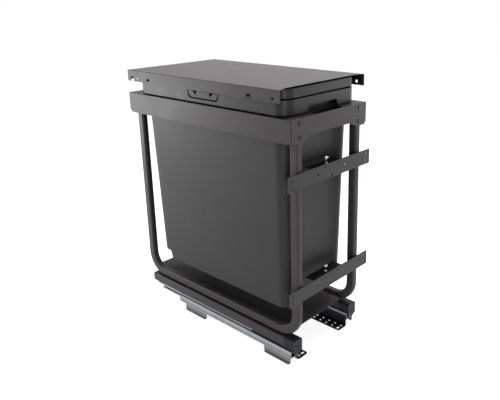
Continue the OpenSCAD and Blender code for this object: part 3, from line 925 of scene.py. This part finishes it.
@dataclass(frozen=True)
class Skin:
    """Half sizes and heights of one skin of the bin's shell, from its sole to its mouth."""

    foot: tuple[float, float]
    body: tuple[float, float]
    neck: tuple[float, float]
    corners: tuple[float, float]
    bottom: float
    ledge: float
    top: float

    def inner(self, wall: float, sole: float, tighter: float) -> Skin:
        """The skin inside this one.

        Args:
            wall: Thickness of the walls.
            sole: Thickness of the sole and the ledge.
            tighter: How much smaller the corner radii are inside.

        Returns:
            The inner skin, with the same mouth height.
        """
        halves = [(x - wall, y - wall) for x, y in (self.foot, self.body, self.neck)]
        corners = (self.corners[0] - tighter, self.corners[1] - tighter)
        return Skin(*halves, corners, self.bottom + sole, self.ledge + sole, self.top)


@dataclass
class Bin:
    """The hanging bin: a tapered shell on a foot that is set back at the rear, its rim and the bag ring."""

    shop: Workshop
    # its neck is darkened above 516 mm as painted shade behind the rim
    plastic: Finish = MouldedPlastic("bin_shell_plastic", BIN_GREY, 0.45, neck_shade_from=516.0)
    wall: float = 2.2
    sole: float = 3.0
    taper_x: float = 12.0
    taper_y: float = 7.8
    step_x: float = 2.0
    step_front: float = 2.0
    step_rear: float = 14.0
    foot_height: float = 26.0
    foot_draft: float = 2.0
    corner: float = 26.0
    foot_corner: float = 24.0
    inner_tighter: float = 2.0
    sole_round: float = 2.5
    hollow: float = 1.5
    hollow_lead: float = 2.0
    nose: float = 2.0
    round_steps: int = 6
    wall_shares: tuple[float, ...] = (0.02, 0.5, 0.985)
    lip: float = 0.3
    rim_corner: float = 27.0
    rim_round: float = 1.2
    bag_round: float = 2.0
    top_steps: int = 5
    mouth_round: float = 1.6
    ring_edge: float = 0.3
    handle_edge: float = 0.45

    def levels(self) -> list[Level]:
        """The shell's levels, from the middle of the sole up outside and down again inside.

        Returns:
            The levels in turn.
        """
        box = Extent.of("bin")
        neck = (box.high.x, (box.high.y - box.low.y) / 2)
        body = (neck[0] - self.taper_x, neck[1] - self.taper_y)
        foot = (body[0] - self.step_x, body[1] - (self.step_front + self.step_rear) / 2)
        ledge = box.low.z + self.foot_height - self.sole
        outside = Skin(foot, body, neck, (self.foot_corner, self.corner), box.low.z, ledge, box.high.z)
        inside = outside.inner(self.wall, self.sole, self.inner_tighter)
        return self._skin(outside, -self.lip) + self._skin(inside, self.lip)[::-1]

    def _skin(self, skin: Skin, lip: float) -> list[Level]:
        """One skin of the shell from its sole to its mouth.

        Args:
            skin: The skin's sizes.
            lip: How far the mouth's edge leans outwards.

        Returns:
            The skin's levels from below upwards.
        """
        made: list[Level] = []
        back = (self.step_front - self.step_rear) / 2
        quarter = [math.pi / 2 * i / self.round_steps for i in range(self.round_steps + 1)]
        for a in quarter:
            inset = self.sole_round * (1 - math.sin(a))
            x, y = (half - self.foot_draft - inset for half in skin.foot)
            z = skin.bottom + self.sole_round * (1 - math.cos(a))
            made.append(Level(x, y, skin.corners[0] - inset, z, back))
        made.append(self._between(skin, 0.0, skin.ledge - self.hollow - self.hollow_lead))
        for a in quarter:
            z = skin.ledge - self.hollow * (1 - math.sin(a))
            made.append(self._between(skin, self.hollow * (1 - math.cos(a)), z))
        for a in quarter:
            out = self.step_rear - self.nose * (1 - math.sin(a))
            made.append(self._between(skin, out, skin.ledge + self.nose * (1 - math.cos(a))))
        low = skin.ledge + self.nose
        for share in self.wall_shares:
            x, y = (b + (n - b) * share for b, n in zip(skin.body, skin.neck))
            made.append(Level(x, y, skin.corners[1], low + (skin.top - low) * share))
        made.append(Level(*skin.neck, skin.corners[1], skin.top - abs(lip)))
        made.append(Level(skin.neck[0] + lip, skin.neck[1] + lip, skin.corners[1], skin.top))
        return made

    def _between(self, skin: Skin, out: float, z: float) -> Level:
        """A level on the step between foot and body.

        Args:
            skin: The skin's sizes.
            out: How far the level has come out from the foot at the rear.
            z: Height of the level.

        Returns:
            The level.
        """
        share = out / self.step_rear
        x, y = (f + (b - f) * share for f, b in zip(skin.foot, skin.body))
        radius = skin.corners[0] + (skin.corners[1] - skin.corners[0]) * share
        return Level(x, y, radius, z, (self.step_front - self.step_rear) / 2 * (1 - share))

    def build(self) -> None:
        """Builds shell, rim and bag ring."""
        box = Extent.of("bin")
        centre = (box.low.y + box.high.y) / 2
        shell = Solid.loft([level.points(centre) for level in self.levels()])
        self.shop.piece("bin_shell", shell, "bin", 0.0, self.plastic)
        bag = Extent.of("bag_ring")
        for node, radius in (("bin_rim", self.rim_round), ("bag_ring", self.bag_round)):
            ring = Extent.of(node)
            half = (ring.high.x, (bag.high.y - bag.low.y) / 2)
            top = ring.high.z

            def outer(a: Vector, b: Vector) -> bool:
                """Whether an edge runs round the top outside."""
                level = all_at((a, b), Z, top)
                return level and all(on_outline(p, half, self.rim_corner, centre) for p in (a, b))

            def mouth(a: Vector, b: Vector) -> bool:
                """Whether an edge runs round the mouth at the top."""
                level = all_at((a, b), Z, top)
                return level and not any(on_outline(p, half, self.rim_corner, centre) for p in (a, b))

            solid = Solid.from_node(self.shop.nodes[node]).fillet(outer, radius, self.top_steps)
            if node == "bag_ring":
                solid.fillet(mouth, self.mouth_round)
            self.shop.piece(node + "_moulding", solid, node, self.ring_edge)
        for side in Side:
            self.shop.keep(f"handle_{side.value}", self.handle_edge)


@dataclass
class FoldedSheets:
    """Ring and cover, folded from sheet with a small radius at each bend."""

    shop: Workshop
    ring_bend: float = 1.1
    cover_bend: float = 2.0
    sheet: float = 1.2
    edge: float = 0.35
    seam: float = 0.9
    seam_skin: float = 0.1
    seam_over: float = 1.0
    seam_below_bend: float = 0.6

    def build(self) -> None:
        """Builds the folded pieces."""
        ring = Extent.of("support_ring")

        def ring_fold(a: Vector, b: Vector) -> bool:
            """Whether an edge is a bend of the ring."""
            outside = all_out_at((a, b), X, ring.high.x) or all_out_at((a, b), Y, ring.high.y)
            return outside and all_at((a, b), Z, ring.high.z)

        folded = self._fold("support_ring", "ring_sheet", ring_fold, self.ring_bend)
        self.shop.carve(folded, self._seams(ring))
        cover = Extent.of("top_cover")

        def cover_fold(a: Vector, b: Vector) -> bool:
            """Whether an edge is a bend of the cover."""
            outside = all_out_at((a, b), X, cover.high.x) or all_at((a, b), Y, cover.high.y)
            return outside and all_at((a, b), Z, cover.high.z)

        self._fold("top_cover", "cover_sheet", cover_fold, self.cover_bend)

    def _seams(self, ring: Extent) -> Solid:
        """Slits where the ring's sides butt against its ends.

        Args:
            ring: The ring's extent.

        Returns:
            One cutter for the four corners.
        """
        made = Solid()
        inside = ring.high.x - self.sheet + self.seam_skin
        outside = ring.high.x + self.seam_over
        low = ring.low.z - self.seam_over
        high = ring.high.z - self.ring_bend - self.seam_below_bend
        for sx in (-1, 1):
            for sy in (-1, 1):
                middle = sy * (ring.high.y - self.sheet)
                front, rear = middle - self.seam / 2, middle + self.seam / 2
                near, far = sx * inside, sx * outside
                made.join(Solid.prism([(near, front), (far, front), (far, rear), (near, rear)], low, high))
        return made

    def _fold(
        self, node: str, name: str, wanted: Callable[[Vector, Vector], bool], radius: float
    ) -> bpy.types.Object:
        """Makes one folded piece from its node.

        Args:
            node: The CAD node.
            name: Name of the piece.
            wanted: Says which edges are bends.
            radius: Outer radius of the bends.

        Returns:
            The folded piece.
        """
        solid = Solid.from_node(self.shop.nodes[node]).fillet(wanted, radius)
        return self.shop.piece(name, solid, node, self.edge)


@dataclass
class Fasteners:
    """Ring screws with domed heads and the threaded height adjusters of the door bars."""

    shop: Workshop
    lacquer: Finish = PowderCoat(
        "screw_lacquer", (0.03, 0.03, 0.032), 0.3, grain=0.3, depth=0.01, specular=0.4
    )
    dome: float = 1.1
    dome_from: float = 3.5
    dome_edge: float = 0.1
    screw_inset: float = 10.0
    sides: int = 24
    pitch: float = 0.8
    pitch_steps: int = 6
    thread: float = 0.35
    thread_end: float = 2.2
    run_out: float = 0.1
    shank: float = 2.5
    plain: float = 0.15
    into_head: float = 0.2
    tip: float = 0.8
    tip_height: float = 0.6
    overlap: float = 0.5
    head: float = 4.7
    head_height: float = 3.5
    head_inside: float = 0.6
    head_edge: tuple[tuple[float, float], ...] = ((0.5, 0.0), (0.1, 0.2), (0.0, 0.6))
    head_round: float = 1.5
    head_steps: int = 5
    collar: float = 4.0
    collar_height: float = 1.5
    collar_edge: float = 0.3
    collar_gap: float = 0.3
    cross: tuple[float, float] = (0.6, 2.7)
    cross_depth: float = 1.5
    cross_over: float = 1.0
    shelf: float = 9.0
    sheet: float = 1.2
    tail: float = 9.0

    def build(self) -> None:
        """Builds all screws."""
        for end in End:
            node = f"ring_screws_{end.value}"
            box = Extent.of(node)
            face = box.low.y if end is End.FRONT else box.high.y

            def crown(a: Vector, b: Vector) -> bool:
                """Whether an edge runs round the outer face of a head."""
                flat = all_at((a, b), Y, face)
                return flat and all(self._head_distance(p) > self.dome_from for p in (a, b))

            domed = Solid.from_node(self.shop.nodes[node]).fillet(crown, self.dome)
            self.shop.piece(node + "_domed", domed, node, self.dome_edge, self.lacquer)
        for bar in Bar:
            self._adjuster(f"adjuster_{bar.value}")

    def _head_distance(self, point: Vector) -> float:
        """Distance of a point from the middle of the nearest screw head.

        Args:
            point: The point.

        Returns:
            The distance in the plane of the head.
        """
        ring, tube = Extent.of("support_ring"), Extent.of("tube_right")
        heights = (ring.high.z - self.screw_inset, ring.low.z + self.screw_inset)
        middle = (tube.low.x + tube.high.x) / 2
        return min(math.hypot(abs(point.x) - middle, point.z - z) for z in heights)

    def _adjuster(self, node: str) -> None:
        """Builds one adjusting screw: thread, two collars and a head with a cross recess.

        Args:
            node: The CAD node that it stands for.
        """
        box = Extent.of(node)
        shift = Matrix.Translation(((box.low.x + box.high.x) / 2, (box.low.y + box.high.y) / 2, 0.0))
        shelf = box.low.z + self.tail + self.shelf
        high = box.high.z
        solid = self._shank(box.low.z, shelf - self.thread_end, high - self.head_height)
        for low in (shelf + self.sheet + self.collar_gap, shelf - self.collar_gap - self.collar_height):
            solid.join(self._collar(low))
        solid.join(self._head(high - self.head_height, high))
        made = self.shop.piece(node + "_screw", solid.place(shift), node, 0.0)
        half, reach = self.cross
        arm = [(half, half), (half, reach), (-half, reach)]
        cross: list[tuple[float, float]] = []
        for _ in range(4):
            cross += arm
            arm = [(-y, x) for x, y in arm]
        recess = Solid.prism(cross, high - self.cross_depth, high + self.cross_over)
        self.shop.carve(made, recess.place(shift))

    def _shank(self, low: float, thread_end: float, high: float) -> Solid:
        """The screw's shank: tip, thread and plain part.

        Args:
            low: Height of the tip's end.
            thread_end: Height up to which the thread is cut.
            high: Height of the head's underside.

        Returns:
            The shank, which reaches a little into the head.
        """
        rings = [self._ring(low, self.shank - self.tip)]
        level = low + self.tip_height
        while level < thread_end:
            rings.append(self._ring(level))
            level += self.pitch / self.pitch_steps
        for z in (level + self.run_out, high + self.into_head):
            rings.append(self._ring(z, self.shank - self.plain))
        return Solid.loft(rings)

    def _collar(self, low: float) -> Solid:
        """One collar round the shank.

        Args:
            low: Height of its underside.

        Returns:
            The collar.
        """
        high, edge = low + self.collar_height, self.collar_edge
        inside, outside = self.shank - self.overlap, self.collar
        lower = [(inside, low), (outside - edge, low), (outside, low + edge)]
        upper = [(outside, high - edge), (outside - edge, high), (inside, high)]
        return Solid.turned(lower + upper)

    def _head(self, low: float, high: float) -> Solid:
        """The screw's head, with a small lower edge and a rounded top.

        Args:
            low: Height of its underside.
            high: Height of its top.

        Returns:
            The head.
        """
        lower = [(self.shank - self.head_inside, low)]
        lower += [(self.head - inset, low + rise) for inset, rise in self.head_edge]
        turns = [math.pi / 2 * i / self.head_steps for i in range(self.head_steps + 1)]
        bow = self.head_round
        upper = [(self.head - bow * (1 - math.cos(a)), high - bow * (1 - math.sin(a))) for a in turns]
        return Solid.turned(lower + upper)

    def _ring(self, z: float, radius: float | None = None) -> list[Vector]:
        """A ring of points at one height.

        Args:
            z: The height.
            radius: Its radius; without one the ring follows the thread.

        Returns:
            The points in turn.
        """
        made: list[Vector] = []
        for turn in (i / self.sides for i in range(self.sides)):
            r = self._cut(z, turn) if radius is None else radius
            made.append(Vector((r * math.cos(2 * math.pi * turn), r * math.sin(2 * math.pi * turn), z)))
        return made

    def _cut(self, z: float, turn: float) -> float:
        """Radius of the thread.

        Args:
            z: Height on the screw.
            turn: Share of a full turn.

        Returns:
            The radius there.
        """
        phase = (z / self.pitch - turn) % 1.0
        return self.shank - self.thread * abs(2 * phase - 1)


@dataclass
class KeptNodes:
    """Every other node keeps its CAD shape, with softened edges and its finish."""

    shop: Workshop
    sheet_edge: float = 0.3
    plastic_edge: float = 0.8
    tube_edge: float = 1.2
    # a darker, less glossy copy of the black coat: paints the shade the cross brackets sit in behind the
    # bars
    bracket_coat: Finish = PowderCoat("bracket_coat", (0.012, 0.012, 0.0135), 0.5, grain=0.5, specular=0.08)
    # a lighter, bluer copy of the black coat: paints the light on the floor brackets, with painted gap shade
    # reaching only 10 mm
    floor_coat: Finish = PowderCoat(
        "floor_coat", (0.03, 0.032, 0.037), 0.36, grain=0.5, reach=10.0, specular=0.35
    )
    plate_paint: Finish = PowderCoat("base_plate_paint", ANTHRACITE, 0.5, specular=0.1)
    # a darker, neutral copy of the anthracite paint: its darkness paints the shade on the door bars
    shaded_bar_paint: Finish = PowderCoat("door_bar_paint", (0.066, 0.065, 0.066), 0.42)

    def build(self) -> None:
        """Dresses the nodes that no piece stands for."""
        edges = {start: self.plastic_edge for start in ("front_cap", "rear_cap", "soft_close_housing")}
        edges["tube"] = self.tube_edge
        coats = {
            "cross_bracket": self.bracket_coat,
            "floor_bracket": self.floor_coat,
            "base_plate": self.plate_paint,
            "door_bar": self.shaded_bar_paint,
        }
        for node in sorted(set(self.shop.nodes) - self.shop.made):
            edge = self._choice(edges, node) or self.sheet_edge
            self.shop.keep(node, edge, self._choice(coats, node))

    @staticmethod
    def _choice(table: Mapping[str, Any], node: str) -> Any:
        """What a table has for a node, by the start of the node's name, or None."""
        return next((value for start, value in table.items() if node.startswith(start)), None)


@dataclass(frozen=True)
class Softbox:
    """One soft lamp."""

    name: str
    place: Triple
    aim: Triple
    width: float
    height: float
    watts: float

    def build(self) -> None:
        """Hangs the lamp up."""
        lamp = bpy.data.lights.new(self.name, "AREA")
        lamp.shape = "RECTANGLE"
        lamp.size, lamp.size_y = self.width, self.height
        lamp.energy = self.watts
        holder = bpy.data.objects.new(self.name, lamp)
        bpy.context.scene.collection.objects.link(holder)
        holder.location = self.place
        holder.rotation_euler = (Vector(self.aim) - Vector(self.place)).to_track_quat("-Z", "Y").to_euler()


@dataclass
class Studio:
    """White room, pale floor, soft lamps and the camera at the photograph's angle."""

    image_width: float = 500.0
    focal: float = 574.3
    shift: tuple[float, float] = (-0.08, -0.08)
    azimuth: float = -48.39
    elevation: float = 16.36
    roll: float = -0.70
    eye: Triple = (-0.8771, -0.9242, 0.7475)
    sensor: float = 36.0
    nearest: float = 0.01
    ambient: float = 0.03
    floor_half: float = 6.0
    floor_drop: float = 0.5
    floor_grey: float = 0.8
    near_glow: float = 0.87
    glow_ends: tuple[float, float] = (0.5, 1.1)
    lamps: tuple[Softbox, ...] = (
        Softbox("left_rear_box", (-0.72, 1.15, 0.38), (-0.1, 0.2, 0.42), 0.5, 0.5, 10.0),
        Softbox("left_front_box", (-1.0, -1.15, 0.35), (-0.1, -0.2, 0.4), 0.4, 0.4, 4.8),
        Softbox("right_front_box", (1.5, -0.9, 0.5), (0.0, -0.25, 0.35), 0.8, 0.8, 6.2),
        Softbox("overhead_box", (0.6, 0.0, 1.8), (0.0, 0.0, 0.4), 1.0, 1.0, 27.0),
    )

    def build(self) -> None:
        """Sets up camera, room, floor and lamps."""
        bpy.context.scene.view_settings.view_transform = "Standard"
        self._camera()
        self._room()
        self._floor()
        for lamp in self.lamps:
            lamp.build()

    def _camera(self) -> None:
        """Places the camera."""
        lens = bpy.data.cameras.new("photo_camera")
        lens.sensor_width = self.sensor
        lens.lens = self.focal * self.sensor / self.image_width
        lens.shift_x, lens.shift_y = self.shift
        lens.clip_start = self.nearest
        az, el, roll = (math.radians(a) for a in (self.azimuth, self.elevation, self.roll))
        back = Vector((math.sin(az) * math.cos(el), -math.cos(az) * math.cos(el), math.sin(el)))
        level = Vector((math.cos(az), math.sin(az), 0.0))
        upright = back.cross(level)
        right = level * math.cos(roll) + upright * math.sin(roll)
        up = upright * math.cos(roll) - level * math.sin(roll)
        holder = bpy.data.objects.new("photo_camera", lens)
        bpy.context.scene.collection.objects.link(holder)
        turn = Matrix((right, up, back)).transposed().to_4x4()
        holder.matrix_world = Matrix.Translation(self.eye) @ turn
        bpy.context.scene.camera = holder

    def _room(self) -> None:
        """Makes the world white where it is seen and dim as a light."""
        world = bpy.data.worlds.new("white_room")
        bpy.context.scene.world = world
        world.use_nodes = True
        world.node_tree.nodes.clear()
        graph = Graph(world.node_tree)
        dim = graph.node("ShaderNodeBackground", {}, {"Color": (*WHITE, 1.0), "Strength": self.ambient})
        white = graph.node("ShaderNodeBackground", {}, {"Color": (*WHITE, 1.0), "Strength": 1.0})
        shader = graph.node("ShaderNodeMixShader", {}, {0: graph.seen(), 1: dim, 2: white})
        graph.finish(shader, "ShaderNodeOutputWorld")

    def _floor(self) -> None:
        """Lays the floor: a painted glow makes it white where it is seen, weaker near the object so that the
        cast shadow shows a little darker there.
        """
        paint = bpy.data.materials.new("pale_floor")
        paint.use_nodes = True
        paint.node_tree.nodes.clear()
        graph = Graph(paint.node_tree)
        matt = graph.node("ShaderNodeBsdfDiffuse", {}, {"Color": (*shade(WHITE, self.floor_grey), 1.0)})
        place = graph.node("ShaderNodeTexCoord", output="Object")
        away = graph.node("ShaderNodeVectorMath", {"operation": "LENGTH"}, {0: place}, "Value")
        # painted light: the floor glows for seen rays, less near the object than far off
        white = graph.mix(shade(WHITE, self.near_glow), WHITE, away.spread(*self.glow_ends))
        glow = graph.node("ShaderNodeEmission", {}, {"Color": white, "Strength": 1.0})
        both = graph.node("ShaderNodeAddShader", {}, {0: matt, 1: glow})
        graph.finish(graph.node("ShaderNodeMixShader", {}, {0: graph.seen(), 1: matt, 2: both}))
        half = self.floor_half
        mesh = bpy.data.meshes.new("floor")
        corners = [(-half, -half, 0), (half, -half, 0), (half, half, 0), (-half, half, 0)]
        mesh.from_pydata(corners, [], [(0, 1, 2, 3)])
        mesh.materials.append(paint)
        floor = bpy.data.objects.new("floor", mesh)
        bpy.context.scene.collection.objects.link(floor)
        floor.location.z = -self.floor_drop * MM


def main() -> None:
    """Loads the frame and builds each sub-assembly in order."""
    logging.basicConfig(level=logging.INFO, format="%(name)s: %(message)s")
    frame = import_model()
    shop = Workshop.open(frame)
    Studio().build()
    for assembly in (Bin(shop), FoldedSheets(shop), Fasteners(shop), KeptNodes(shop)):
        assembly.build()


if __name__ == "__main__":
    main()
